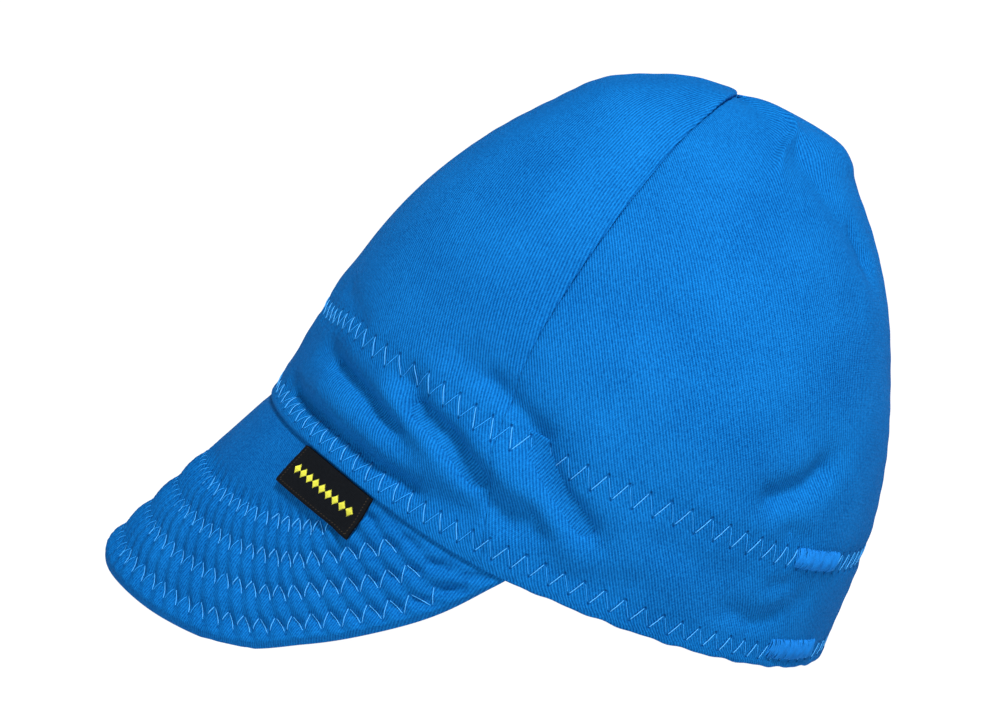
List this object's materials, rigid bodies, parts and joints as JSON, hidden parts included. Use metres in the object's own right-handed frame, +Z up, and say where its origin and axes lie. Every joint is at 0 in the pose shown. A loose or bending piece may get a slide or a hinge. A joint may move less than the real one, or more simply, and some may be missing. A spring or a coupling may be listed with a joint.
{
  "type": "welding cap",
  "caption": "Soft cloth welding cap: a domed crown of sewn panels over a turned-up band, with a quilted cloth peak, standing on its peak and the back of its rim.",
  "frame": {"origin": "Middle of the bounding box, on the surface that the cap rests on.", "axes": "+X towards the wearer's left, +Y towards the back of the cap, +Z up; the peak points to -Y."},
  "size_m": [0.1722, 0.2622, 0.188],
  "materials": {
    "twill": "soft blue cotton twill",
    "thread": "lighter blue sewing thread",
    "ribbon": "woven black ribbon with small yellow stitched shapes"
  },
  "bodies": {
    "root": {"crown_front_left": "twill", "crown_front_right": "twill", "crown_rear_left": "twill", "crown_rear_right": "twill", "sweatband": "twill", "peak": "twill", "tab": "ribbon", "bartack_upper_left": "thread", "bartack_upper_right": "thread", "bartack_lower_left": "thread", "bartack_lower_right": "thread"}
  },
  "joints": []
}
